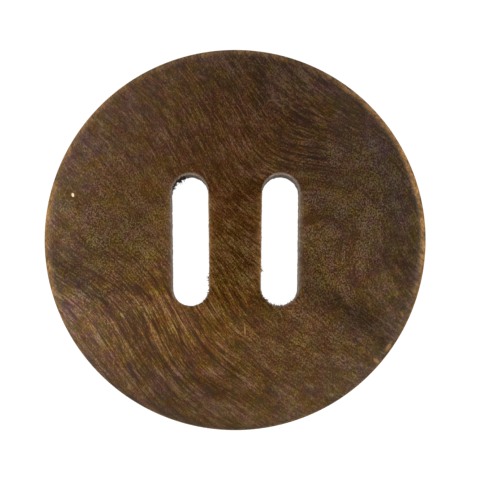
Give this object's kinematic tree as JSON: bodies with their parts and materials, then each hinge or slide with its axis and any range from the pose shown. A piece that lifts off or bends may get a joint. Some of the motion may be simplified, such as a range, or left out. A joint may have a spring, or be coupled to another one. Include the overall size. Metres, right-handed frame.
{
  "type": "sew-through button",
  "caption": "Round wooden sew-through button with a rounded front rim and long parallel slots for tape, ribbon or heavy thread.",
  "frame": {"origin": "centre of the flat back face, which lies on the garment", "axes": "+Z from the back face to the rounded front face, +Y along the slots towards the ends that lean apart, +X across the slots to the wearer's view right"},
  "size_m": [0.05, 0.05, 0.005],
  "materials": {
    "stained_wood": "satin"
  },
  "bodies": {
    "root": {"button_disc": "stained_wood"}
  },
  "joints": []
}
